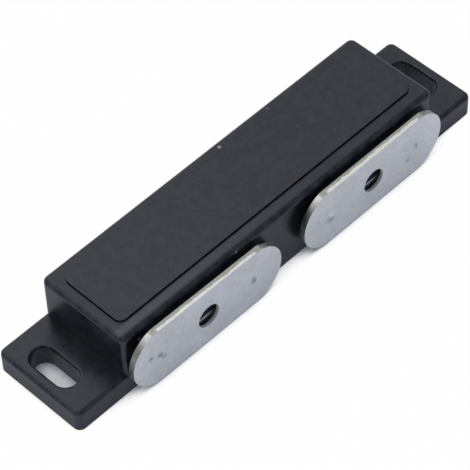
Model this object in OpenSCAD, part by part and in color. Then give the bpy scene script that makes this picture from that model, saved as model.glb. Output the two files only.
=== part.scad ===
// Double touch latch: two magnetic push plungers in one moulded housing.
// Millimetres. The origin is the middle of the mounting face, +X runs along the
// length, -Y is the front that the plungers come out of, +Z points off the face.
// All pieces are drawn with the plungers pushed home.

/* [Housing] */
// Length over both flanges
total_length = 88; // [82:0.5:110]
// Length of the raised body between the flanges
body_length = 68.4; // [66:0.2:78]
// Depth of body and flanges, front to back
body_depth = 17.7; // [16.6:0.1:22]
// Height of the body's rim above the mounting face
body_height = 12.7; // [11.8:0.1:16]
// Thickness of the flanges
flange_thickness = 4.1; // [2:0.1:6]
// Radius of the upright corners
corner_radius = 1.2; // [1.1:0.1:2]
// Rounding of the body's top edge
body_edge_radius = 1; // [0.2:0.05:1.05]
// Rounding of the flanges' top edge
flange_edge_radius = 0.8; // [0.2:0.05:0.85]
// Thickness of the floor under the plungers
floor_thickness = 2.3; // [1.5:0.1:3]
// Wall between a plunger chamber and the centre pocket
web_thickness = 2.5; // [2:0.1:4]
// Width of a screw slot
slot_width = 4.1; // [3.2:0.1:4.4]
// Length of a screw slot, front to back
slot_length = 8.9; // [6:0.1:12]
// Rounding of a slot's upper rim
slot_rim_radius = 0.45; // [0.2:0.05:0.6]
// Distance from the end of a flange to the middle of its slot
slot_inset = 3.95; // [3.6:0.05:5]
// Distance that the slots lie behind the middle of the flanges
slot_setback = 0.4; // [0:0.1:1]

/* [Cover] */
// Width of the rim that shows at each end of the cover
rim_end = 2.15; // [1.5:0.05:3]
// Width of the rim that shows along each side of the cover
rim_side = 2.65; // [2:0.05:3.2]
// Width of the ledge that carries the cover's long sides
cover_ledge = 0.75; // [0.4:0.05:0.8]
// Thickness of the cover
cover_thickness = 1.75; // [1.5:0.05:2.2]
// Height that the cover stands above the rim
cover_raise = 0.35; // [0.1:0.05:0.6]
// Radius of the cover's corners
cover_corner_radius = 1.3; // [0.8:0.1:3]
// Gap round the cover
cover_seam = 0.08; // [0.04:0.01:0.2]
// Diameter of the cover's locating pegs
peg_diameter = 1.2; // [0.8:0.1:1.5]
// Length of the locating pegs
peg_length = 2.2; // [1:0.1:4]
// Distance between the two rows of pegs
peg_spacing = 6.8; // [4:0.1:8]
// Width of the ribs that hold a plunger down
rib_width = 1.2; // [0.8:0.1:2]
// Distance between the two ribs over a plunger
rib_spacing = 15; // [10:0.5:17]

/* [Plungers] */
// Distance between the middles of the two plungers
unit_spacing = 37.2; // [36:0.2:38]
// Width of a plunger's nose
nose_width = 19.6; // [18.6:0.1:20.4]
// Radius of the nose's four corners
nose_corner_radius = 0.6; // [0.3:0.1:1]
// Step from the nose out to each stop shoulder
shoulder_step = 1.5; // [1:0.1:1.8]
// Height that the nose stands out of the front at rest
nose_reach = 0.75; // [0.7:0.05:1]
// Travel out from rest to the stop
eject_travel = 5.5; // [4:0.1:5.8]
// Travel in past rest when the door is pressed
press_travel = 0.7; // [0.4:0.05:0.7]
// Gap round a sliding plunger
slide_clearance = 0.15; // [0.1:0.01:0.2]
// Gap left at the front stop
stop_clearance = 0.05; // [0.02:0.01:0.2]
// Gap left behind a plunger that is pressed right in
rear_clearance = 0.25; // [0.1:0.05:0.4]

/* [Heart track] */
// Depth of the track in a plunger's top
track_depth = 1.1; // [0.9:0.05:1.2]
// Gap on each side of the follower's tip
track_clearance = 0.15; // [0.1:0.01:0.2]
// Sideways distance from the heart's middle to the tip at rest
heart_offset = 1.4; // [1.2:0.05:1.8]
// Depth of the notch in the heart's front
notch_depth = 0.5; // [0.3:0.05:0.8]

/* [Cam followers] */
// Diameter of the follower's wire
follower_wire = 0.7; // [0.6:0.05:0.8]
// Length of the arm from pivot to tip
follower_arm = 6.4; // [5.8:0.1:7]
// Distance from the back wall to the pivot
pivot_inset = 1.05; // [0.9:0.05:1.3]
// Gap above and below the arm
follower_clearance = 0.225; // [0.15:0.025:0.3]
// Depth of the pivot's socket in the cover
socket_depth = 1; // [0.7:0.05:1.1]
// Gap round the pivot in its socket
socket_clearance = 0.06; // [0.03:0.01:0.1]
// Gap under the tip and over the pivot
follower_end_gap = 0.2; // [0.1:0.05:0.3]
// Bend radius at the wire's middle
follower_bend = 0.6; // [0.5:0.05:0.8]

/* [Magnets] */
// Width of a magnet and of its pole plates
magnet_width = 16.8; // [14:0.1:17]
// Thickness of a magnet between its pole plates
magnet_thickness = 2.6; // [1.8:0.1:3]
// Depth of a magnet, front to back
magnet_depth = 6.2; // [4:0.1:6.4]
// Thickness of a pole plate
pole_thickness = 0.9; // [0.7:0.05:1]
// Depth of a pole plate, front to back
pole_depth = 6.8; // [6.4:0.1:7]
// Height that the pole plates stand out of the nose
pole_reach = 0.325; // [0.2:0.025:0.6]
// Gap round the magnet and pole plates in their pocket
pocket_clearance = 0.05; // [0.02:0.01:0.1]

/* [Springs] */
// Outer diameter of a spring
spring_diameter = 4.2; // [3.6:0.1:4.6]
// Diameter of the spring's wire
spring_wire = 0.4; // [0.3:0.05:0.5]
// Turns between the two closed end turns
spring_turns = 7; // [5:1:9]
// Gap round a spring in its bore
spring_clearance = 0.2; // [0.1:0.05:0.3]
// Wall between a spring's bore and the magnet pocket
bore_web = 2; // [1.2:0.1:2.4]
// Diameter of the spigot inside a spring
spigot_diameter = 2.6; // [1.8:0.1:2.8]
// Length of the spigot
spigot_length = 2.5; // [1.5:0.1:3.5]

/* [Strike plates] */
// Length of a strike plate
plate_length = 31.5; // [26:0.1:34]
// Height of a strike plate
plate_height = 11.7; // [9:0.1:12.2]
// Thickness of a strike plate
plate_thickness = 1.05; // [0.8:0.05:1.5]
// Extra radius of a plate's ends over half its height
plate_bluntness = 0.2; // [0.05:0.05:1]
// Turn of the loose left plate on its magnet, in degrees
left_plate_turn = 1.3; // [-3:0.1:3]
// Shift of the loose right plate along its magnet
right_plate_shift = -0.5; // [-0.6:0.05:0.6]
// Diameter of the screw hole
plate_hole = 4.3; // [3:0.1:5]
// Diameter of the countersink on the plate's back
countersink_diameter = 6; // [5.4:0.1:7]
// Depth of the countersink
countersink_depth = 0.5; // [0.3:0.05:0.6]
// Distance from the middle of a plate to its marking pips
pip_offset = 9.8; // [7:0.1:11]
// Diameter of a marking pip
pip_diameter = 1.5; // [1:0.1:3]
// Height of a marking pip
pip_height = 0.25; // [0.15:0.05:0.5]

/* [Hidden] */
$fn = 48;
cut_margin = 1;

// Housing, front to back and bottom to top
front_y = -body_depth / 2;
wall = rim_side + cover_ledge;
chamber_front = front_y + wall;
chamber_back = body_depth / 2 - wall;
chamber_depth = chamber_back - chamber_front;
ledge_z = body_height + cover_raise - cover_thickness;
slot_x = total_length / 2 - slot_inset;
cover_length = body_length - 2 * rim_end;
cover_depth = body_depth - 2 * rim_side;

// Plungers, in the frame of one unit with its middle at X = 0
unit_x = unit_spacing / 2;
shoulder_width = nose_width + 2 * shoulder_step;
chamber_width = shoulder_width + 2 * slide_clearance;
plunger_bottom = floor_thickness + slide_clearance;
plunger_top = ledge_z - follower_wire - 2 * follower_clearance;
plunger_height = plunger_top - plunger_bottom;
plunger_mid = (plunger_top + plunger_bottom) / 2;
nose_front = front_y - nose_reach;
shoulder_front = chamber_front + eject_travel + stop_clearance;
plunger_rear = chamber_back - press_travel - rear_clearance;
pocket_length = 2 * (unit_x - chamber_width / 2 - web_thickness);
peg_x = unit_x - chamber_width / 2 - web_thickness / 2;

// Magnet, poles and strike plate
pole_front = nose_front - pole_reach;
pocket_floor = pole_front + pole_depth;
stack_height = magnet_thickness + 2 * pole_thickness;
plate_front = pole_front - plate_thickness;
plate_end_radius = plate_height / 2 + plate_bluntness;

// Track and follower
tip_radius = follower_wire / 2;
track_radius = tip_radius + track_clearance;
track_floor = plunger_top - track_depth;
pivot_y = chamber_back - pivot_inset;
tip_y = pivot_y - follower_arm;
arm_z = (plunger_top + ledge_z) / 2;

// Spring
bore_radius = spring_diameter / 2 + spring_clearance;
bore_z = (plunger_bottom + track_floor) / 2;
bore_floor = pocket_floor + bore_web;
spring_gap = 0.03;
spring_length = chamber_back - bore_floor - 2 * spring_gap;
coil_radius = (spring_diameter - spring_wire) / 2;
coil_steps = 16;
coil_sides = 6;

// Colours
black_plastic = [0.16, 0.16, 0.17];
grey_plastic = [0.24, 0.24, 0.25];
zinc_plate = [0.70, 0.71, 0.74];
pole_steel = [0.52, 0.53, 0.55];
ferrite = [0.20, 0.19, 0.19];
spring_steel = [0.60, 0.61, 0.63];

// Flat shapes

module rounded_rectangle(length, width, radius) {
    square([length - 2 * radius, width], center = true);
    square([length, width - 2 * radius], center = true);
    for (x = [-1, 1], y = [-1, 1])
        translate([x * (length / 2 - radius), y * (width / 2 - radius)])
            circle(radius);
}

module obround(length, width) {
    square([length - width, width], center = true);
    for (x = [-1, 1])
        translate([x * (length - width) / 2, 0])
            circle(width / 2);
}

// Strip with an arc at each end that meets its long sides at a blunt corner
module blunt_strip(length, width, end_radius) {
    intersection() {
        square([length, width], center = true);
        obround(length, 2 * end_radius);
    }
}

// A groove of the given radius from one point to another
module groove(from, to, radius) {
    run = to - from;
    translate((from + to) / 2)
        rotate(atan2(run[1], run[0]))
            obround(norm(run) + 2 * radius, 2 * radius);
}

// Upright section with its two top corners rounded
module arch_section(width, height, radius) {
    translate([-width / 2, 0])
        square([width, height - radius]);
    translate([-width / 2 + radius, 0])
        square([width - 2 * radius, height]);
    for (x = [-1, 1])
        translate([x * (width / 2 - radius), height - radius])
            circle(radius);
}

// Half of the section of a round post with a rounded top edge
module post_section(post_radius, height, radius) {
    square([post_radius, height - radius]);
    square([post_radius - radius, height]);
    translate([post_radius - radius, height - radius])
        intersection() {
            circle(radius);
            square(radius);
        }
}

// Half of the section that widens a hole to a rounded rim at height 0
module rim_section(hole_radius, radius) {
    difference() {
        translate([0, -radius])
            square([hole_radius + radius, radius + cut_margin]);
        translate([hole_radius + radius, -radius])
            circle(radius);
    }
}

// Block with rounded upright corners and a rounded top edge
module moulded_block(length, depth, height, corner, edge) {
    rotate([90, 0, 90])
        linear_extrude(length - 2 * corner, center = true)
            arch_section(depth, height, edge);
    rotate([90, 0, 0])
        linear_extrude(depth - 2 * corner, center = true)
            arch_section(length, height, edge);
    for (quarter = [0:3]) {
        x = (quarter == 0 || quarter == 3) ? 1 : -1;
        y = quarter < 2 ? 1 : -1;
        translate([x * (length / 2 - corner), y * (depth / 2 - corner), 0])
            rotate(90 * quarter)
                rotate_extrude(angle = 90)
                    post_section(corner, height, edge);
    }
}

// Places a unit's piece on the left, or its mirror image on the right
module on_left() {
    translate([-unit_x, 0, 0]) children();
}

module on_right() {
    mirror([1, 0, 0]) on_left() children();
}

module on_both_sides() {
    on_left() children();
    on_right() children();
}

// Prism along Y with its section in X and Z
module along_y(from, to) {
    translate([0, to, 0])
        rotate([90, 0, 0])
            linear_extrude(to - from)
                children();
}

// Housing and cover

module screw_slot() {
    straight = slot_length - slot_width;
    translate([0, 0, -flange_thickness - cut_margin])
        linear_extrude(flange_thickness + 2 * cut_margin)
            rotate(90)
                obround(slot_length, slot_width);
    along_y(-straight / 2, straight / 2) {
        rim_section(slot_width / 2, slot_rim_radius);
        mirror([1, 0])
            rim_section(slot_width / 2, slot_rim_radius);
    }
    for (turn = [0, 180])
        rotate(turn)
            translate([0, straight / 2, 0])
                rotate_extrude(angle = 180)
                    rim_section(slot_width / 2, slot_rim_radius);
}

module screw_slots() {
    for (x = [-slot_x, slot_x])
        translate([x, slot_setback, flange_thickness])
            screw_slot();
}

module plunger_chamber() {
    translate([-chamber_width / 2, chamber_front, floor_thickness])
        cube([chamber_width, chamber_depth, body_height]);
    along_y(front_y - cut_margin, chamber_front + cut_margin)
        translate([0, plunger_mid])
            rounded_rectangle(
                nose_width + 2 * slide_clearance,
                plunger_height + 2 * slide_clearance,
                nose_corner_radius + slide_clearance
            );
}

module spring_spigot() {
    along_y(chamber_back - spigot_length, chamber_back + cut_margin)
        translate([0, bore_z])
            circle(spigot_diameter / 2);
}

module peg_places() {
    for (x = [-peg_x, peg_x], y = [-peg_spacing / 2, peg_spacing / 2])
        translate([x, y, ledge_z])
            children();
}

module housing() {
    color(black_plastic) {
        difference() {
            union() {
                moulded_block(body_length, body_depth, body_height, corner_radius, body_edge_radius);
                moulded_block(total_length, body_depth, flange_thickness, corner_radius, flange_edge_radius);
            }
            screw_slots();
            on_both_sides() plunger_chamber();
            translate([-pocket_length / 2, chamber_front, floor_thickness])
                cube([pocket_length, chamber_depth, body_height]);
            translate([0, 0, ledge_z])
                linear_extrude(body_height)
                    rounded_rectangle(
                        cover_length + 2 * cover_seam,
                        cover_depth + 2 * cover_seam,
                        cover_corner_radius + cover_seam
                    );
            peg_places()
                translate([0, 0, -peg_length - cover_seam])
                    cylinder(h = peg_length + 2 * cover_seam, r = peg_diameter / 2 + cover_seam);
        }
        on_both_sides() spring_spigot();
    }
}

module cover() {
    color(black_plastic)
        difference() {
            union() {
                translate([0, 0, ledge_z])
                    linear_extrude(cover_thickness)
                        rounded_rectangle(cover_length, cover_depth, cover_corner_radius);
                peg_places()
                    translate([0, 0, -peg_length])
                        cylinder(h = peg_length + cover_thickness / 2, r = peg_diameter / 2);
                on_both_sides()
                    for (x = [-rib_spacing / 2, rib_spacing / 2])
                        translate([
                            x - rib_width / 2,
                            chamber_front + rear_clearance,
                            plunger_top + slide_clearance
                        ])
                            cube([
                                rib_width,
                                chamber_depth - 2 * rear_clearance,
                                ledge_z - plunger_top - slide_clearance + cover_thickness / 2
                            ]);
            }
            on_both_sides()
                translate([-heart_offset, pivot_y, ledge_z - cut_margin])
                    cylinder(h = socket_depth + cut_margin, r = tip_radius + socket_clearance);
        }
}

// Plunger and what it carries

// Two legs round a heart, joined in front of it and behind it
module heart_track() {
    turn_y = tip_y - press_travel;
    turn_offset = heart_offset * (1 + press_travel / eject_travel);
    entry_y = tip_y + eject_travel;
    for (side = [-1, 1])
        groove([side * turn_offset, turn_y], [0, entry_y], track_radius);
    groove([-turn_offset, turn_y], [turn_offset, turn_y], track_radius);
    groove([0, turn_y], [0, turn_y + notch_depth], track_radius);
    groove([0, entry_y], [0, plunger_rear + track_radius], track_radius);
}

module plunger() {
    color(grey_plastic)
        difference() {
            union() {
                along_y(nose_front, shoulder_front + cut_margin)
                    translate([0, plunger_mid])
                        rounded_rectangle(nose_width, plunger_height, nose_corner_radius);
                translate([-shoulder_width / 2, shoulder_front, plunger_bottom])
                    cube([shoulder_width, plunger_rear - shoulder_front, plunger_height]);
            }
            along_y(nose_front - cut_margin, pocket_floor)
                translate([0, plunger_mid])
                    square([
                        magnet_width + 2 * pocket_clearance,
                        stack_height + 2 * pocket_clearance
                    ], center = true);
            along_y(bore_floor, plunger_rear + cut_margin)
                translate([0, bore_z])
                    circle(bore_radius);
            translate([0, 0, track_floor])
                linear_extrude(track_depth + cut_margin)
                    heart_track();
        }
}

module magnet() {
    color(ferrite)
        along_y(pocket_floor - magnet_depth, pocket_floor)
            translate([0, plunger_mid])
                square([magnet_width, magnet_thickness], center = true);
}

module pole_plate(side) {
    color(pole_steel)
        along_y(pole_front, pocket_floor)
            translate([0, plunger_mid + side * (magnet_thickness + pole_thickness) / 2])
                square([magnet_width, pole_thickness], center = true);
}

// Wire bent up into the cover at its pivot and down into the track at its tip
module cam_follower() {
    color(spring_steel)
        translate([-heart_offset, 0, arm_z]) {
            translate([0, pivot_y, 0])
                wire_leg(ledge_z + socket_depth - follower_end_gap - arm_z);
            translate([0, tip_y, 0])
                rotate([0, 180, 180])
                    wire_leg(arm_z - track_floor - follower_end_gap);
            along_y(tip_y + follower_bend, pivot_y - follower_bend)
                circle(tip_radius);
        }
}

// Upright end of a wire that comes in along Y and bends up at the origin
module wire_leg(height) {
    translate([0, 0, follower_bend])
        cylinder(h = height - follower_bend, r = tip_radius);
    translate([0, -follower_bend, follower_bend])
        rotate([90, 0, 90])
            rotate_extrude(angle = -90)
                translate([follower_bend, 0])
                    circle(tip_radius);
}

// Height along the spring at a given turn, with a closed turn at each end
function coil_height(turn) =
    let (
        closed = spring_wire * 1.05,
        pitch = (spring_length - spring_wire - 2 * closed) / spring_turns
    )
    spring_wire / 2
        + closed * min(turn, 1)
        + pitch * max(0, min(turn - 1, spring_turns))
        + closed * max(0, turn - 1 - spring_turns);

function coil_point(turn, side) =
    let (
        angle = 360 * turn,
        lean = 360 * side / coil_sides,
        reach = coil_radius + spring_wire / 2 * cos(lean)
    )
    [
        reach * cos(angle),
        coil_height(turn) + spring_wire / 2 * sin(lean),
        reach * sin(angle)
    ];

module spring() {
    rings = (spring_turns + 2) * coil_steps;
    points = [
        for (ring = [0:rings], side = [0:coil_sides - 1])
            coil_point(ring / coil_steps, side)
    ];
    skin = [
        for (ring = [0:rings - 1], side = [0:coil_sides - 1])
            let (
                next = (side + 1) % coil_sides,
                a = ring * coil_sides,
                b = a + coil_sides
            )
            each [[a + side, a + next, b + side], [a + next, b + next, b + side]]
    ];
    start_cap = [for (side = [coil_sides - 1:-1:0]) side];
    end_cap = [for (side = [0:coil_sides - 1]) rings * coil_sides + side];
    color(spring_steel)
        translate([0, bore_floor + spring_gap, bore_z])
            polyhedron(points, concat(skin, [start_cap, end_cap]), convexity = 10);
}

// Low dome on the plate's front
module marking_pip() {
    dome_radius = (pow(pip_diameter / 2, 2) + pow(pip_height, 2)) / (2 * pip_height);
    intersection() {
        translate([0, dome_radius - pip_height, 0])
            sphere(dome_radius);
        translate([-pip_diameter, -pip_diameter, -pip_diameter])
            cube([2 * pip_diameter, pip_diameter + plate_thickness / 2, 2 * pip_diameter]);
    }
}

module strike_plate() {
    color(zinc_plate)
        translate([0, plate_front, 0])
            difference() {
                union() {
                    along_y(0, plate_thickness)
                        blunt_strip(plate_length, plate_height, plate_end_radius);
                    for (x = [-pip_offset, pip_offset])
                        translate([x, 0, 0])
                            marking_pip();
                }
                along_y(-cut_margin, plate_thickness + cut_margin)
                    circle(plate_hole / 2);
                translate([0, plate_thickness, 0])
                    rotate([90, 0, 0])
                        cylinder(h = countersink_depth, r1 = countersink_diameter / 2, r2 = plate_hole / 2);
            }
}

// The two units

module left_plunger() { on_left() plunger(); }
module left_magnet() { on_left() magnet(); }
module left_upper_pole() { on_left() pole_plate(1); }
module left_lower_pole() { on_left() pole_plate(-1); }
module left_spring() { on_left() spring(); }
module left_cam_follower() { on_left() cam_follower(); }
module left_strike_plate() {
    translate([-unit_x, 0, plunger_mid])
        rotate([0, left_plate_turn, 0])
            strike_plate();
}
module right_plunger() { on_right() plunger(); }
module right_magnet() { on_right() magnet(); }
module right_upper_pole() { on_right() pole_plate(1); }
module right_lower_pole() { on_right() pole_plate(-1); }
module right_spring() { on_right() spring(); }
module right_cam_follower() { on_right() cam_follower(); }
module right_strike_plate() {
    translate([unit_x + right_plate_shift, 0, plunger_mid])
        strike_plate();
}

housing();
cover();
left_plunger();
left_magnet();
left_upper_pole();
left_lower_pole();
left_spring();
left_cam_follower();
left_strike_plate();
right_plunger();
right_magnet();
right_upper_pole();
right_lower_pole();
right_spring();
right_cam_follower();
right_strike_plate();
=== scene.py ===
import math

import bmesh
import bpy
from mathutils import Matrix, Vector


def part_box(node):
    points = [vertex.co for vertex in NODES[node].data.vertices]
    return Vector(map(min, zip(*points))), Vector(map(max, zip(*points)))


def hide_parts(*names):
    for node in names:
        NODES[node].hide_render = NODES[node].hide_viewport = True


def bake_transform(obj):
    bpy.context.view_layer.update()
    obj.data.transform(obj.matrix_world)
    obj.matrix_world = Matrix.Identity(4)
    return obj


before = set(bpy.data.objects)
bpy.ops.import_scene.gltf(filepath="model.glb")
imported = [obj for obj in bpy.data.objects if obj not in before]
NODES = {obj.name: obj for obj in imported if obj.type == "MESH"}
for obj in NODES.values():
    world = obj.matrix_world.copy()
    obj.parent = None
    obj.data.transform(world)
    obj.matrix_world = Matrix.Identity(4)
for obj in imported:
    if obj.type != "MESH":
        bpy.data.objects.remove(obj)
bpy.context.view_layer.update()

# Sides of the latch, and a millimetre in metres
SIDES = ("left", "right")
MM = 0.001

# Camera, fitted to the photograph's outlines
PHOTO_SIZE_PX = 470
FOCAL_LENGTH_PX = 2577.5
SENSOR_MM = 36.0
CAMERA_AZIMUTH_DEG = -43.756
CAMERA_ELEVATION_DEG = 50.624
CAMERA_ROLL_DEG = -2.404
CAMERA_DISTANCE = 405.97 * MM
CAMERA_RIGHT = -1.424 * MM
CAMERA_UP = -0.08 * MM
CAMERA_CLIP_START = 10 * MM

# Rounding of the pieces' sharp edges
MOULDED_EDGE = 0.12 * MM
COVER_EDGE = 0.2 * MM
SHEARED_EDGE = 0.18 * MM
POLE_EDGE = 0.22 * MM
MAGNET_EDGE = 0.08 * MM
EDGE_SEGMENTS = 3
WELD_DISTANCE = 0.0005 * MM
FLAT_ANGLE_DEG = 0.4
SHARP_ANGLE_DEG = 35
LARGE_FACE_WEIGHT = 60

# Springs: open turns between one closed turn at each end
SPRING_WIRE = 0.4 * MM
SPRING_CLOSED_PITCH = 1.05 * SPRING_WIRE
SPRING_OPEN_TURNS = 7
SPRING_TURNS = SPRING_OPEN_TURNS + 2
SPRING_STEPS = 40
SPRING_SIDES = 14

# Results at the two ends of a ramp, and the spread of most noise values
RISING = (0.0, 1.0)
FALLING = (1.0, 0.0)
NOISE_SPREAD = (0.3, 0.7)
NOISE_ROUGHNESS = 0.55

# Worn edges: how square to an axis a face is, and where the wear is patchy
SQUARENESS_SPAN = (0.78, 0.97)
WEAR_SPAN = (0.4, 0.65)
WEAR_STRENGTHS = (0.1, 1.0)

# Plastic: sizes and depths of its grain, dust, colours, gloss as a range of roughness
PLASTIC_CLOUD = 9 * MM
PLASTIC_PATCH = 1.6 * MM
PLASTIC_GRAIN = 0.3 * MM
PLASTIC_PATCH_DEPTH = 0.04 * MM
PLASTIC_GRAIN_DEPTH = 0.013 * MM
PLASTIC_TONE_WEIGHTS = (0.5, 0.3, 0.2)
PLASTIC_TONE_SPAN = (0.425, 0.575)
PLASTIC_GLOSS_WEIGHTS = (0.6, 0.4)
DUST_SPACING = 7 * MM
DUST_RADIUS = 0.2 * MM
DUST_CORE = 0.6
DUST_SHARE = 0.14
DUST_COLOUR = (0.05, 0.05, 0.052)
PLASTIC_DARK = (0.0003, 0.0005, 0.0021)
PLASTIC_LIGHT = (0.0094, 0.0098, 0.0138)
PLASTIC_WORN = (0.022, 0.021, 0.026)
RIM_HIGHLIGHT_COLOUR = (0.036, 0.036, 0.038)
PLASTIC_GLOSS = (0.26, 0.36)
PLASTIC_SPECULAR = 0.7
PLASTIC_TINT = (0.78, 0.85, 1.0)
PLUNGER_DARK = (0.016, 0.016, 0.018)
PLUNGER_LIGHT = (0.024, 0.024, 0.026)
PLUNGER_GLOSS = (0.3, 0.42)

# Painted highlight: a lighter strip along the housing's front rim, which fades towards the right
RIM_HIGHLIGHT_FRONT_Y = -7.9 * MM
RIM_HIGHLIGHT_BACK_Y = -6.4 * MM
RIM_HIGHLIGHT_FADE = 0.3 * MM
RIM_HIGHLIGHT_SPAN_X = (-30 * MM, 8 * MM)
RIM_HIGHLIGHT_SPAN_Z = (12.4 * MM, 12.6 * MM)

# Specks on the housing, in millimetres: X, Y, Z, radius and lightness
HOUSING_SPECKS = (
    (2.66, 7.56, 12.7, 0.42, 0.3),
    (13.6, 7.7, 12.7, 0.45, 0.05),
    (-10.25, -8.77, 12.1, 0.36, 0.12),
    (-30.87, -8.85, 10.46, 0.4, 0.24),
)
HOUSING_SPECK_CORE = 0.2

# Strike plates: middles, straight edges and screw holes
PLATE_MIDDLES_X = (-18.6 * MM, 18.1 * MM)
PLATE_MIDDLE_Z = 6.3 * MM
STRAIGHT_EDGE_SPAN = (10.2 * MM, 10.6 * MM)
HOLE_REACH = 2.5 * MM
HOLE_FADE_SPAN = (0.0, 0.1)

# Zinc: sizes and depths of its texture, colours, gloss as a range of roughness
ZINC_CLOUD = 5 * MM
ZINC_MOTTLE = 0.9 * MM
ZINC_BLOTCH = 0.55 * MM
ZINC_FINE = 0.25 * MM
ZINC_LINES = 0.12 * MM
ZINC_LINES_SCALE = (0.05, 1.0, 1.0)
ZINC_MOTTLE_DEPTH = 0.009 * MM
ZINC_LINES_DEPTH = 0.002 * MM
ZINC_FINE_DEPTH = 0.005 * MM
ZINC_TONE_WEIGHTS = (0.5, 0.5)
ZINC_TONE_SPAN = (0.36, 0.64)
ZINC_DARK = (0.71, 0.745, 0.75)
ZINC_LIGHT = (0.85, 0.885, 0.88)
ZINC_GLOSS = (0.34, 0.46)

# Marks on the plates' fronts, in millimetres: X, Z, radius and strength. Dark: smudges and painted
# shade on the pips, the last a broad painted shade at the far plate's right end. Light: painted
# highlights on the pips.
DARK_MARKS_AND_PIP_SHADE = (
    (-30.77, 7.19, 0.75, 0.68),
    (-28.89, 6.56, 0.8, 0.74),
    (-28.1, 5.56, 0.8, 0.45),
    (-8.98, 6.26, 0.75, 0.72),
    (-8.83, 5.56, 0.65, 0.66),
    (8.04, 5.66, 1.1, 0.5),
    (8.75, 5.1, 0.6, 0.35),
    (27.88, 6.59, 0.6, 0.55),
    (26.09, 4.39, 0.6, 0.55),
    (28.8, 6.3, 5.0, 0.08),
)
# Painted highlights on the pips' lit sides
PIP_HIGHLIGHTS = (
    (-28.23, 6.61, 0.4, 0.35),
    (-8.18, 6.21, 0.4, 0.3),
    (8.33, 6.71, 0.62, 0.9),
)
MARK_AND_SHADE_COLOUR = (0.2, 0.205, 0.22)
PIP_HIGHLIGHT_COLOUR = (0.92, 0.93, 0.94)
PLATE_SPOT_CORE = 0.15

# Edges of the plates: torn metal, a painted highlight on the front part, a painted glint on the arcs'
# upper left, and painted light in the screw holes
EDGE_FACING_SPAN = (0.25, 0.75)
EDGE_TONE_SPAN = (0.35, 0.65)
EDGE_DARK = (0.36, 0.36, 0.335)
EDGE_LIGHT = (0.47, 0.47, 0.44)
EDGE_GLOSS = (0.34, 0.54)
SHINE_COLOUR = (0.84, 0.85, 0.84)
SHINE_BORDERS_Y = (-10.47 * MM, -10.36 * MM)
SHINE_FADE_SPAN = (-0.12 * MM, 0.02 * MM)
SHINE_WANDER = (-0.15 * MM, 0.15 * MM)
BETWEEN_PLATES_X = (-MM, MM)
GLINT_COLOUR = (0.86, 0.87, 0.86)
GLINT_RISE_X = (-0.75, -0.45)
GLINT_FALL_X = (-0.35, -0.2)
GLINT_RISE_Z = (0.3, 0.6)
GLINT_STRENGTHS = (0.0, 0.8)
# Screw holes' walls: painted light, a colour lighter than the zinc that lifts the shade in the holes,
# and a rough finish
HOLE_PAINTED_LIGHT = (0.9, 0.91, 0.93)
HOLE_ROUGHNESS = 0.75

# Steel of the poles, springs and followers
STEEL_CLOUD = 2 * MM
STEEL_GRAIN_DEPTH = 0.003 * MM
STEEL_WORN = (0.68, 0.68, 0.69)
POLE_DARK = (0.58, 0.60, 0.64)
POLE_LIGHT = (0.70, 0.72, 0.76)
POLE_GLOSS = (0.22, 0.34)
POLE_GRAIN = 0.15 * MM
WIRE_DARK = (0.46, 0.47, 0.49)
WIRE_LIGHT = (0.56, 0.57, 0.59)
WIRE_GLOSS = (0.2, 0.32)
WIRE_GRAIN = 0.08 * MM

# Ferrite of the magnets
FERRITE_GRAIN = 0.12 * MM
FERRITE_GRAIN_DEPTH = 0.008 * MM
FERRITE_DARK = (0.022, 0.021, 0.021)
FERRITE_LIGHT = (0.045, 0.043, 0.042)
FERRITE_WORN = (0.09, 0.087, 0.085)
FERRITE_GLOSS = (0.6, 0.8)

# Floor
FLOOR_SIZE = 6.0
FLOOR_DROP = 0.02 * MM
FLOOR_COLOUR = (0.57, 0.575, 0.65)
FLOOR_WHITE_SEEN = 0.985
FLOOR_WHITE_MIRRORED = 0.1
HEMMED_IN_REACH = 6 * MM
HEMMED_IN_SPAN = (0.33, 0.56)

# World, and its sweeps in reflections: part of the direction, span and levels at its ends
WORLD_LIGHT = 0.9
WORLD_COLOUR = (0.96, 0.97, 1.0)
SKY_SWEEPS = (
    ("Y", (0.1, 0.38), (0.6, 1.0)),
    ("Y", (-0.85, 0.1), (0.4, 1.0)),
    ("Z", (0.0, 0.6), (0.65, 1.0)),
    ("X", (-0.25, 0.25), (0.5, 1.0)),
    ("X", (0.36, 0.6), (1.0, 0.8)),
)

# Key light
KEY_PLACE = (-0.15, 0.45, 0.88)
KEY_AIM = (0, 0, 0)
KEY_SIZE = 1.3
KEY_WATTS = 2.4
KEY_COLOUR = (1.0, 0.98, 0.95)


# Small helpers for shader nodes

def new_material(name):
    """A material with an empty tree, its Principled shader and its output."""
    material = bpy.data.materials.new(name)
    material.use_nodes = True
    tree = material.node_tree
    tree.nodes.clear()
    output = tree.nodes.new("ShaderNodeOutputMaterial")
    shader = tree.nodes.new("ShaderNodeBsdfPrincipled")
    tree.links.new(shader.outputs["BSDF"], output.inputs["Surface"])
    return material, tree, shader


def coordinate(tree, name):
    """One of the outputs of Texture Coordinate."""
    return tree.nodes.new("ShaderNodeTexCoord").outputs[name]


def parts_of(tree, vector):
    """The X, Y and Z of a vector."""
    node = tree.nodes.new("ShaderNodeSeparateXYZ")
    tree.links.new(vector, node.inputs["Vector"])
    return node.outputs


def object_point(tree, scale=(1.0, 1.0, 1.0), place=(0.0, 0.0, 0.0)):
    """Position on the piece in metres, stretched by scale and then moved by place."""
    mapping = tree.nodes.new("ShaderNodeMapping")
    mapping.inputs["Scale"].default_value = scale
    mapping.inputs["Location"].default_value = place
    tree.links.new(coordinate(tree, "Object"), mapping.inputs["Vector"])
    return mapping.outputs["Vector"]


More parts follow.
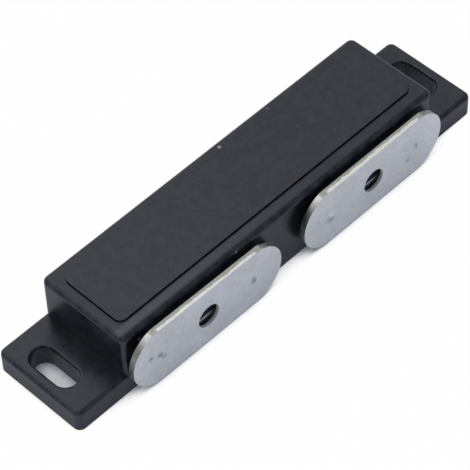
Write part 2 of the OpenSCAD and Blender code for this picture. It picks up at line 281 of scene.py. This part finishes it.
def noise(tree, point, size, detail=3.0):
    """Noise whose features are about size metres across."""
    node = tree.nodes.new("ShaderNodeTexNoise")
    node.inputs["Scale"].default_value = 1.0 / size
    node.inputs["Detail"].default_value = detail
    node.inputs["Roughness"].default_value = NOISE_ROUGHNESS
    tree.links.new(point, node.inputs["Vector"])
    return node.outputs["Fac"]


def ramp(tree, value, span, results=RISING):
    """value over a span, clamped, turned into the results at the span's ends."""
    node = tree.nodes.new("ShaderNodeMapRange")
    sockets = ("From Min", "From Max", "To Min", "To Max")
    for socket, number in zip(sockets, (*span, *results)):
        node.inputs[socket].default_value = number
    tree.links.new(value, node.inputs["Value"])
    return node.outputs["Result"]


def math_node(tree, operation, first, second=0.0):
    """first and second, each an output or a number, joined by operation."""
    node = tree.nodes.new("ShaderNodeMath")
    node.operation = operation
    for socket, value in zip(node.inputs, (first, second)):
        if isinstance(value, (int, float)):
            socket.default_value = value
        else:
            tree.links.new(value, socket)
    return node.outputs["Value"]


def join(tree, operation, *values):
    """All the values joined by operation, one after the other."""
    result = values[0]
    for value in values[1:]:
        result = math_node(tree, operation, result, value)
    return result


def weighted_sum(tree, values, weights):
    """Sum of the values, each times its weight."""
    weighted = [math_node(tree, "MULTIPLY", value, weight) for value, weight in zip(values, weights)]
    return join(tree, "ADD", *weighted)


def mix(tree, factor, first, second, kind="RGBA"):
    """A colour, or a number with kind FLOAT, between first and second."""
    node = tree.nodes.new("ShaderNodeMix")
    node.data_type = kind
    tree.links.new(factor, node.inputs["Factor"])
    for socket, value in ((node.inputs["A"], first), (node.inputs["B"], second)):
        if isinstance(value, tuple):
            socket.default_value = (*value, 1.0)
        else:
            tree.links.new(value, socket)
    return node.outputs["Result"]


def mix_shaders(tree, factor, first, second):
    """A shader between first and second."""
    node = tree.nodes.new("ShaderNodeMixShader")
    tree.links.new(factor, node.inputs["Fac"])
    tree.links.new(first, node.inputs[1])
    tree.links.new(second, node.inputs[2])
    return node.outputs["Shader"]


def bump(tree, height, depth, under=None):
    """A normal bent by height, in metres of depth, on top of another normal."""
    node = tree.nodes.new("ShaderNodeBump")
    node.inputs["Strength"].default_value = 1.0
    node.inputs["Distance"].default_value = depth
    tree.links.new(height, node.inputs["Height"])
    if under is not None:
        tree.links.new(under, node.inputs["Normal"])
    return node.outputs["Normal"]


def round_spot(tree, centre, radius, core, scale=(1.0, 1.0, 1.0)):
    """1 in the core of a round spot of the piece, fading to 0 at its radius."""
    place = tuple(-value for value in centre)
    reach = tree.nodes.new("ShaderNodeVectorMath")
    reach.operation = "LENGTH"
    tree.links.new(object_point(tree, scale, place), reach.inputs[0])
    return ramp(tree, reach.outputs["Value"], (core * radius, radius), FALLING)


def scattered_dust(tree, point):
    """1 on a few round specks, 0 elsewhere."""
    cells = tree.nodes.new("ShaderNodeTexVoronoi")
    cells.inputs["Scale"].default_value = 1.0 / DUST_SPACING
    tree.links.new(point, cells.inputs["Vector"])
    chance = tree.nodes.new("ShaderNodeSeparateColor")
    tree.links.new(cells.outputs["Color"], chance.inputs["Color"])
    radius = DUST_RADIUS / DUST_SPACING
    near = ramp(tree, cells.outputs["Distance"], (DUST_CORE * radius, radius), FALLING)
    chosen = math_node(tree, "LESS_THAN", chance.outputs["Red"], DUST_SHARE)
    return math_node(tree, "MULTIPLY", near, chosen)


def edge_wear(tree, patches):
    """1 on worn stretches of rounded edges and corners, 0 on faces square to the axes."""
    facing = parts_of(tree, coordinate(tree, "Normal"))
    shares = [math_node(tree, "ABSOLUTE", facing[axis]) for axis in ("X", "Y", "Z")]
    edge = ramp(tree, join(tree, "MAXIMUM", *shares), SQUARENESS_SPAN, FALLING)
    return math_node(tree, "MULTIPLY", edge, ramp(tree, patches, WEAR_SPAN, WEAR_STRENGTHS))


# Plastic

def rim_painted_highlight(tree):
    """1 where a highlight is painted along the rim in front of the cover, strongest at the left and
    fading to 0.
    """
    place = parts_of(tree, object_point(tree))
    return join(
        tree,
        "MULTIPLY",
        ramp(tree, place["Y"], (RIM_HIGHLIGHT_FRONT_Y, RIM_HIGHLIGHT_FRONT_Y + RIM_HIGHLIGHT_FADE)),
        ramp(tree, place["Y"], (RIM_HIGHLIGHT_BACK_Y - RIM_HIGHLIGHT_FADE, RIM_HIGHLIGHT_BACK_Y), FALLING),
        ramp(tree, place["X"], RIM_HIGHLIGHT_SPAN_X, FALLING),
        ramp(tree, place["Z"], RIM_HIGHLIGHT_SPAN_Z),
    )


def moulded_plastic(name, dark, light, gloss, rim_highlight=False, spots=()):
    """Black plastic with a fine moulded grain, worn edges, uneven gloss, a little dust and, if asked,
    a painted highlight along the front rim.
    """
    material, tree, shader = new_material(name)
    point = object_point(tree)
    cloud = noise(tree, point, PLASTIC_CLOUD, detail=4.0)
    patch = noise(tree, point, PLASTIC_PATCH)
    grain = noise(tree, point, PLASTIC_GRAIN, detail=2.0)

    tone = weighted_sum(tree, (patch, grain, cloud), PLASTIC_TONE_WEIGHTS)
    colour = mix(tree, ramp(tree, tone, PLASTIC_TONE_SPAN), dark, light)
    colour = mix(tree, edge_wear(tree, patch), colour, PLASTIC_WORN)
    colour = mix(tree, scattered_dust(tree, point), colour, DUST_COLOUR)
    if rim_highlight:
        # Painted highlight along the housing's front rim
        colour = mix(tree, rim_painted_highlight(tree), colour, RIM_HIGHLIGHT_COLOUR)
    for x, y, z, radius, lightness in spots:
        speck = round_spot(tree, (x * MM, y * MM, z * MM), radius * MM, HOUSING_SPECK_CORE)
        colour = mix(tree, speck, colour, (lightness, lightness, lightness))
    tree.links.new(colour, shader.inputs["Base Color"])

    unevenness = weighted_sum(tree, (cloud, patch), PLASTIC_GLOSS_WEIGHTS)
    tree.links.new(ramp(tree, unevenness, NOISE_SPREAD, gloss), shader.inputs["Roughness"])
    normal = bump(tree, patch, PLASTIC_PATCH_DEPTH)
    normal = bump(tree, grain, PLASTIC_GRAIN_DEPTH, under=normal)
    tree.links.new(normal, shader.inputs["Normal"])
    shader.inputs["Specular IOR Level"].default_value = PLASTIC_SPECULAR
    shader.inputs["Specular Tint"].default_value = (*PLASTIC_TINT, 1.0)
    return material


# Strike plates

def plate_spot(tree, x, z, radius):
    """A round spot on a plate's front, which goes right through the plate."""
    return round_spot(tree, (x, 0.0, z), radius, PLATE_SPOT_CORE, scale=(1.0, 0.0, 1.0))


def plate_face(tree, tone):
    """Colour of the faces, with their marks, painted shade and painted highlights on the pips."""
    face = mix(tree, ramp(tree, tone, ZINC_TONE_SPAN), ZINC_DARK, ZINC_LIGHT)
    # Dark smudges with painted shade, then painted highlights, on the pips
    for spots, colour in ((DARK_MARKS_AND_PIP_SHADE, MARK_AND_SHADE_COLOUR), (PIP_HIGHLIGHTS, PIP_HIGHLIGHT_COLOUR)):
        for x, z, radius, strength in spots:
            spot_strength = math_node(tree, "MULTIPLY", plate_spot(tree, x * MM, z * MM, radius * MM), strength)
            face = mix(tree, spot_strength, face, colour)
    return face


def edge_shine(tree, place, mottle):
    """1 where a highlight is painted on the front part of the plates' straight edges, with a wandering
    border.
    """
    depth = math_node(tree, "ADD", place["Y"], ramp(tree, mottle, NOISE_SPREAD, SHINE_WANDER))
    border = ramp(tree, place["X"], BETWEEN_PLATES_X, SHINE_BORDERS_Y)
    front = ramp(tree, math_node(tree, "SUBTRACT", depth, border), SHINE_FADE_SPAN, FALLING)
    straights = []
    for middle in PLATE_MIDDLES_X:
        offset = math_node(tree, "ABSOLUTE", math_node(tree, "SUBTRACT", place["X"], middle))
        straights.append(ramp(tree, offset, STRAIGHT_EDGE_SPAN, FALLING))
    return math_node(tree, "MULTIPLY", front, join(tree, "MAXIMUM", *straights))


def arc_glint(tree, facing):
    """Strength of the painted glint where the plates' arcs face up and to the left."""
    return join(
        tree,
        "MULTIPLY",
        ramp(tree, facing["X"], GLINT_RISE_X),
        ramp(tree, facing["X"], GLINT_FALL_X, FALLING),
        ramp(tree, facing["Z"], GLINT_RISE_Z, GLINT_STRENGTHS),
    )


def in_screw_hole(tree):
    """1 in the plates' screw holes, 0 elsewhere."""
    holes = [plate_spot(tree, middle, PLATE_MIDDLE_Z, HOLE_REACH) for middle in PLATE_MIDDLES_X]
    return ramp(tree, join(tree, "MAXIMUM", *holes), HOLE_FADE_SPAN)


def zinc_plate(name):
    """Zinc-plated strip: cloudy satin faces with marks, painted shade and painted highlights on the
    pips, rolled long edges with a painted highlight at the front, sheared ends with a painted glint,
    and screw holes painted light.
    """
    material, tree, shader = new_material(name)
    point = object_point(tree)
    cloud = noise(tree, point, ZINC_CLOUD, detail=5.0)
    mottle = noise(tree, point, ZINC_MOTTLE)
    lines = noise(tree, object_point(tree, ZINC_LINES_SCALE), ZINC_LINES, detail=2.0)
    fine = noise(tree, point, ZINC_FINE)
    blotch = noise(tree, point, ZINC_BLOTCH)
    tone = weighted_sum(tree, (cloud, mottle), ZINC_TONE_WEIGHTS)
    facing = parts_of(tree, coordinate(tree, "Normal"))
    on_edge = ramp(tree, math_node(tree, "ABSOLUTE", facing["Y"]), EDGE_FACING_SPAN, FALLING)
    in_hole = in_screw_hole(tree)

    edge = mix(tree, ramp(tree, blotch, EDGE_TONE_SPAN), EDGE_DARK, EDGE_LIGHT)
    # Painted highlight on the straight edges' front part, and a painted glint on the arcs
    edge = mix(tree, edge_shine(tree, parts_of(tree, point), mottle), edge, SHINE_COLOUR)
    edge = mix(tree, arc_glint(tree, facing), edge, GLINT_COLOUR)
    # Painted light on the screw holes' walls, lifting their shade
    edge = mix(tree, in_hole, edge, HOLE_PAINTED_LIGHT)
    colour = mix(tree, on_edge, plate_face(tree, tone), edge)
    tree.links.new(colour, shader.inputs["Base Color"])
    shader.inputs["Metallic"].default_value = 1.0

    satin = ramp(tree, tone, NOISE_SPREAD, ZINC_GLOSS)
    torn = ramp(tree, blotch, NOISE_SPREAD, EDGE_GLOSS)
    torn = math_node(tree, "MAXIMUM", torn, math_node(tree, "MULTIPLY", in_hole, HOLE_ROUGHNESS))
    tree.links.new(mix(tree, on_edge, satin, torn, kind="FLOAT"), shader.inputs["Roughness"])

    normal = bump(tree, mottle, ZINC_MOTTLE_DEPTH)
    normal = bump(tree, lines, ZINC_LINES_DEPTH, under=normal)
    normal = bump(tree, fine, ZINC_FINE_DEPTH, under=normal)
    tree.links.new(normal, shader.inputs["Normal"])
    return material


# Steel and ferrite

def plain_steel(name, dark, light, gloss, grain_size):
    """Cut or drawn steel with a fine grain."""
    material, tree, shader = new_material(name)
    point = object_point(tree)
    grain = noise(tree, point, grain_size)
    cloud = noise(tree, point, STEEL_CLOUD)
    colour = mix(tree, ramp(tree, cloud, NOISE_SPREAD), dark, light)
    colour = mix(tree, edge_wear(tree, grain), colour, STEEL_WORN)
    tree.links.new(colour, shader.inputs["Base Color"])
    shader.inputs["Metallic"].default_value = 1.0
    tree.links.new(ramp(tree, grain, NOISE_SPREAD, gloss), shader.inputs["Roughness"])
    tree.links.new(bump(tree, grain, STEEL_GRAIN_DEPTH), shader.inputs["Normal"])
    return material


def sintered_ferrite(name):
    """Dull dark ceramic with a ground, grainy face."""
    material, tree, shader = new_material(name)
    grain = noise(tree, object_point(tree), FERRITE_GRAIN, detail=4.0)
    colour = mix(tree, ramp(tree, grain, NOISE_SPREAD), FERRITE_DARK, FERRITE_LIGHT)
    colour = mix(tree, edge_wear(tree, grain), colour, FERRITE_WORN)
    tree.links.new(colour, shader.inputs["Base Color"])
    tree.links.new(ramp(tree, grain, NOISE_SPREAD, FERRITE_GLOSS), shader.inputs["Roughness"])
    tree.links.new(bump(tree, grain, FERRITE_GRAIN_DEPTH), shader.inputs["Normal"])
    return material


# Dressing of the CAD nodes

def smooth_shading():
    """Geometry nodes that shade every face smooth."""
    tree = bpy.data.node_groups.new("smooth_shading", "GeometryNodeTree")
    tree.interface.new_socket("Geometry", in_out="INPUT", socket_type="NodeSocketGeometry")
    tree.interface.new_socket("Geometry", in_out="OUTPUT", socket_type="NodeSocketGeometry")
    entry = tree.nodes.new("NodeGroupInput")
    smooth = tree.nodes.new("GeometryNodeSetShadeSmooth")
    leave = tree.nodes.new("NodeGroupOutput")
    tree.links.new(entry.outputs[0], smooth.inputs["Geometry"])
    tree.links.new(smooth.outputs["Geometry"], leave.inputs[0])
    return tree


def dress(name, material):
    """Gives a CAD node its material."""
    slots = NODES[name].data.materials
    slots.clear()
    slots.append(material)


def round_edges(name, width, group):
    """Rounds the sharp edges of a CAD node a little, as tooling leaves them."""
    node = NODES[name]
    weld = node.modifiers.new("weld", "WELD")
    weld.merge_threshold = WELD_DISTANCE
    flat = node.modifiers.new("whole_faces", "DECIMATE")
    flat.decimate_type = "DISSOLVE"
    flat.angle_limit = math.radians(FLAT_ANGLE_DEG)
    bevel = node.modifiers.new("rounded_edges", "BEVEL")
    bevel.width = width
    bevel.segments = EDGE_SEGMENTS
    bevel.limit_method = "ANGLE"
    bevel.angle_limit = math.radians(SHARP_ANGLE_DEG)
    bevel.use_clamp_overlap = True
    shading = node.modifiers.new("smooth_shading", "NODES")
    shading.node_group = group
    normals = node.modifiers.new("face_normals", "WEIGHTED_NORMAL")
    normals.mode = "FACE_AREA"
    normals.weight = LARGE_FACE_WEIGHT
    normals.keep_sharp = False


# Springs

def spring_height(turn, length):
    """Height of the wire's middle at a turn, with a closed turn at each end."""
    pitch = (length - SPRING_WIRE - 2 * SPRING_CLOSED_PITCH) / SPRING_OPEN_TURNS
    height = SPRING_WIRE / 2 + SPRING_CLOSED_PITCH * min(turn, 1)
    height += pitch * max(0.0, min(turn - 1, SPRING_OPEN_TURNS))
    height += SPRING_CLOSED_PITCH * max(0.0, turn - 1 - SPRING_OPEN_TURNS)
    return height


def make_spring(side, material):
    """A wire spring in the place of the CAD one, which stretches as its plunger moves."""
    low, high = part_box(f"{side}_spring")
    middle = (Vector(low) + Vector(high)) / 2
    length = high[1] - low[1]
    coil_radius = (high[0] - low[0] - SPRING_WIRE) / 2
    mesh = bmesh.new()
    rings = []
    for step in range(SPRING_TURNS * SPRING_STEPS + 1):
        turn = step / SPRING_STEPS
        angle = 2 * math.pi * turn
        ring = []
        for corner in range(SPRING_SIDES):
            lean = 2 * math.pi * corner / SPRING_SIDES
            reach = coil_radius + SPRING_WIRE / 2 * math.cos(lean)
            ring.append(mesh.verts.new((
                middle.x + reach * math.cos(angle),
                low[1] + spring_height(turn, length) + SPRING_WIRE / 2 * math.sin(lean),
                middle.z + reach * math.sin(angle),
            )))
        rings.append(ring)
    for first, second in zip(rings, rings[1:]):
        for corner in range(SPRING_SIDES):
            after = (corner + 1) % SPRING_SIDES
            mesh.faces.new((first[corner], first[after], second[after], second[corner]))
    mesh.faces.new(rings[0][::-1])
    mesh.faces.new(rings[-1])
    bmesh.ops.recalc_face_normals(mesh, faces=mesh.faces)
    data = bpy.data.meshes.new(f"{side}_spring_wire")
    mesh.to_mesh(data)
    mesh.free()
    for face in data.polygons:
        face.use_smooth = True
    data.materials.append(material)
    spring = bpy.data.objects.new(f"{side}_spring_wire", data)
    bpy.context.scene.collection.objects.link(spring)
    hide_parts(f"{side}_spring")
    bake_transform(spring)


# Studio

def floor_material():
    """Pale, white to the camera where the floor lies open, and a little whiter in reflections."""
    material = bpy.data.materials.new("floor")
    material.use_nodes = True
    tree = material.node_tree
    tree.nodes.clear()
    output = tree.nodes.new("ShaderNodeOutputMaterial")
    diffuse = tree.nodes.new("ShaderNodeBsdfDiffuse")
    diffuse.inputs["Color"].default_value = (*FLOOR_COLOUR, 1.0)
    white = tree.nodes.new("ShaderNodeEmission")
    white.inputs["Strength"].default_value = 1.0
    path = tree.nodes.new("ShaderNodeLightPath")
    hemmed_in = tree.nodes.new("ShaderNodeAmbientOcclusion")
    hemmed_in.inputs["Distance"].default_value = HEMMED_IN_REACH
    open_share = ramp(tree, hemmed_in.outputs["AO"], HEMMED_IN_SPAN, (0.0, FLOOR_WHITE_SEEN))
    seen = math_node(tree, "MULTIPLY", path.outputs["Is Camera Ray"], open_share)
    mirrored = math_node(tree, "MULTIPLY", path.outputs["Is Glossy Ray"], FLOOR_WHITE_MIRRORED)
    whiteness = math_node(tree, "MAXIMUM", seen, mirrored)
    surface = mix_shaders(tree, whiteness, diffuse.outputs["BSDF"], white.outputs["Emission"])
    tree.links.new(surface, output.inputs["Surface"])
    return material


def pale_floor():
    """Pale floor that keeps the object's shadow and shows white where it lies open."""
    mesh = bpy.data.meshes.new("floor")
    half = FLOOR_SIZE / 2
    corners = [(-half, -half), (half, -half), (half, half), (-half, half)]
    mesh.from_pydata([(x, y, -FLOOR_DROP) for x, y in corners], [], [(0, 1, 2, 3)])
    floor = bpy.data.objects.new("floor", mesh)
    bpy.context.scene.collection.objects.link(floor)
    mesh.materials.append(floor_material())


def pale_world():
    """White to the camera, dimmer in reflections from the front and the sides, softer as a light."""
    world = bpy.data.worlds.new("studio")
    bpy.context.scene.world = world
    world.use_nodes = True
    tree = world.node_tree
    tree.nodes.clear()
    output = tree.nodes.new("ShaderNodeOutputWorld")
    soft = tree.nodes.new("ShaderNodeBackground")
    soft.inputs["Color"].default_value = (*WORLD_COLOUR, 1.0)
    soft.inputs["Strength"].default_value = WORLD_LIGHT
    white = tree.nodes.new("ShaderNodeBackground")
    direction = parts_of(tree, coordinate(tree, "Generated"))
    sweeps = [ramp(tree, direction[axis], span, levels) for axis, span, levels in SKY_SWEEPS]
    path = tree.nodes.new("ShaderNodeLightPath")
    camera_ray = path.outputs["Is Camera Ray"]
    level = math_node(tree, "MAXIMUM", join(tree, "MULTIPLY", *sweeps), camera_ray)
    tree.links.new(level, white.inputs["Strength"])
    seen = math_node(tree, "MAXIMUM", camera_ray, path.outputs["Is Glossy Ray"])
    surface = mix_shaders(tree, seen, soft.outputs["Background"], white.outputs["Background"])
    tree.links.new(surface, output.inputs["Surface"])


def key_light():
    """A square studio light above and behind the object."""
    data = bpy.data.lights.new("key", "AREA")
    data.shape = "SQUARE"
    data.size = KEY_SIZE
    data.energy = KEY_WATTS
    data.color = KEY_COLOUR
    light = bpy.data.objects.new("key", data)
    light.location = KEY_PLACE
    light.rotation_euler = (Vector(KEY_AIM) - Vector(KEY_PLACE)).to_track_quat("-Z", "Y").to_euler()
    bpy.context.scene.collection.objects.link(light)


def photo_camera():
    """The camera at the photograph's place and angle."""
    azimuth = math.radians(CAMERA_AZIMUTH_DEG)
    elevation = math.radians(CAMERA_ELEVATION_DEG)
    roll = math.radians(CAMERA_ROLL_DEG)
    back = Vector((
        math.sin(azimuth) * math.cos(elevation),
        -math.cos(azimuth) * math.cos(elevation),
        math.sin(elevation),
    ))
    right = Vector((math.cos(azimuth), math.sin(azimuth), 0.0))
    up = back.cross(right)
    place = CAMERA_RIGHT * right + CAMERA_UP * up + CAMERA_DISTANCE * back
    turned_right = math.cos(roll) * right + math.sin(roll) * up
    turned_up = math.cos(roll) * up - math.sin(roll) * right
    data = bpy.data.cameras.new("photo_camera")
    data.sensor_fit = "HORIZONTAL"
    data.sensor_width = SENSOR_MM
    data.lens = SENSOR_MM * FOCAL_LENGTH_PX / PHOTO_SIZE_PX
    data.clip_start = CAMERA_CLIP_START
    data.dof.use_dof = False
    camera = bpy.data.objects.new("photo_camera", data)
    rotation = Matrix((turned_right, turned_up, back)).transposed().to_4x4()
    camera.matrix_world = Matrix.Translation(place) @ rotation
    bpy.context.scene.collection.objects.link(camera)
    bpy.context.scene.camera = camera


# The object

housing_plastic = moulded_plastic(
    "housing_plastic", PLASTIC_DARK, PLASTIC_LIGHT, PLASTIC_GLOSS, rim_highlight=True, spots=HOUSING_SPECKS
)
cover_plastic = moulded_plastic("cover_plastic", PLASTIC_DARK, PLASTIC_LIGHT, PLASTIC_GLOSS)
plunger_plastic = moulded_plastic("plunger_plastic", PLUNGER_DARK, PLUNGER_LIGHT, PLUNGER_GLOSS)
plated_steel = zinc_plate("plated_steel")
pole_steel = plain_steel("pole_steel", POLE_DARK, POLE_LIGHT, POLE_GLOSS, POLE_GRAIN)
wire_steel = plain_steel("wire_steel", WIRE_DARK, WIRE_LIGHT, WIRE_GLOSS, WIRE_GRAIN)
ferrite = sintered_ferrite("ferrite")
smoothing = smooth_shading()

dress("housing", housing_plastic)
round_edges("housing", MOULDED_EDGE, smoothing)
dress("cover", cover_plastic)
round_edges("cover", COVER_EDGE, smoothing)
for side in SIDES:
    dress(f"{side}_plunger", plunger_plastic)
    round_edges(f"{side}_plunger", MOULDED_EDGE, smoothing)
    dress(f"{side}_magnet", ferrite)
    round_edges(f"{side}_magnet", MAGNET_EDGE, smoothing)
    for pole in ("upper_pole", "lower_pole"):
        dress(f"{side}_{pole}", pole_steel)
        round_edges(f"{side}_{pole}", POLE_EDGE, smoothing)
    dress(f"{side}_cam_follower", wire_steel)
    dress(f"{side}_strike_plate", plated_steel)
    round_edges(f"{side}_strike_plate", SHEARED_EDGE, smoothing)
    make_spring(side, wire_steel)

# The studio

pale_floor()
pale_world()
key_light()
photo_camera()
bpy.context.scene.view_settings.view_transform = "Standard"
